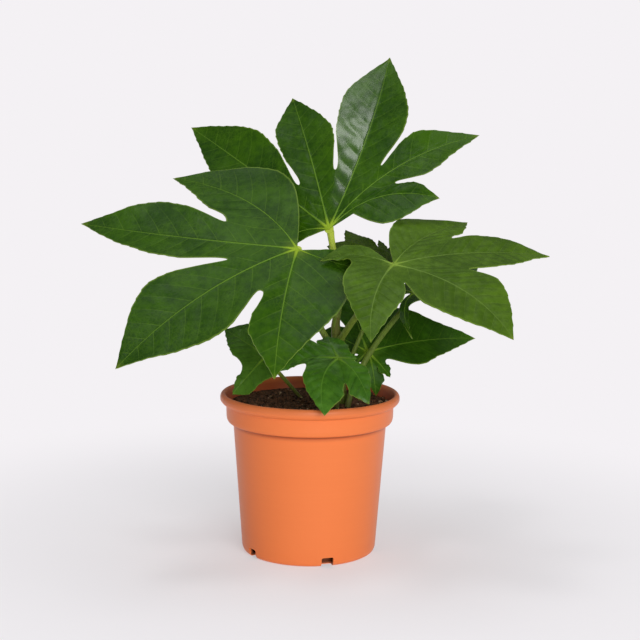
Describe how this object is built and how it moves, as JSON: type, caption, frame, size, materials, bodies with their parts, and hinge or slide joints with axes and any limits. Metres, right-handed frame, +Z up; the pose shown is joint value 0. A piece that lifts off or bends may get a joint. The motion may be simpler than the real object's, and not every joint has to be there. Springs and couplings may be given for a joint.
{
  "type": "potted foliage plant",
  "caption": "Young fatsia japonica with large lobed leaves on long stalks, standing in a round plastic nursery pot filled with soil.",
  "frame": {"origin": "centre of the flat face under the pot", "axes": "+Z up, +X to the right and +Y away as seen in the picture"},
  "size_m": [0.307, 0.222, 0.3311],
  "materials": {
    "pot": "satin terracotta-orange moulded plastic",
    "soil": "dark brown crumbly earth",
    "main_stem": "brownish green young bark",
    "left_leaf_blade": "glossy leaf with raised lighter veins",
    "left_leaf_petiole": "smooth yellow-green stalk",
    "top_leaf_blade": "glossy leaf with raised lighter veins",
    "top_leaf_petiole": "smooth yellow-green stalk",
    "right_leaf_blade": "glossy leaf with raised lighter veins",
    "right_leaf_petiole": "smooth yellow-green stalk",
    "rear_leaf_blade": "glossy leaf with raised lighter veins",
    "rear_leaf_petiole": "smooth yellow-green stalk",
    "young_leaf_blade": "glossy leaf with raised lighter veins",
    "young_leaf_petiole": "smooth yellow-green stalk",
    "low_right_leaf_blade": "glossy leaf with raised lighter veins",
    "low_right_leaf_petiole": "smooth yellow-green stalk",
    "low_left_leaf_blade": "glossy leaf with raised lighter veins",
    "low_left_leaf_petiole": "smooth yellow-green stalk",
    "low_front_leaf_blade": "glossy leaf with raised lighter veins",
    "low_front_leaf_petiole": "smooth yellow-green stalk"
  },
  "bodies": {
    "root": {"pot": "pot", "soil": "soil", "main_stem": "main_stem", "left_leaf_blade": "left_leaf_blade", "left_leaf_petiole": "left_leaf_petiole", "top_leaf_blade": "top_leaf_blade", "top_leaf_petiole": "top_leaf_petiole", "right_leaf_blade": "right_leaf_blade", "right_leaf_petiole": "right_leaf_petiole", "rear_leaf_blade": "rear_leaf_blade", "rear_leaf_petiole": "rear_leaf_petiole", "young_leaf_blade": "young_leaf_blade", "young_leaf_petiole": "young_leaf_petiole", "low_right_leaf_blade": "low_right_leaf_blade", "low_right_leaf_petiole": "low_right_leaf_petiole", "low_left_leaf_blade": "low_left_leaf_blade", "low_left_leaf_petiole": "low_left_leaf_petiole", "low_front_leaf_blade": "low_front_leaf_blade", "low_front_leaf_petiole": "low_front_leaf_petiole"}
  },
  "joints": []
}
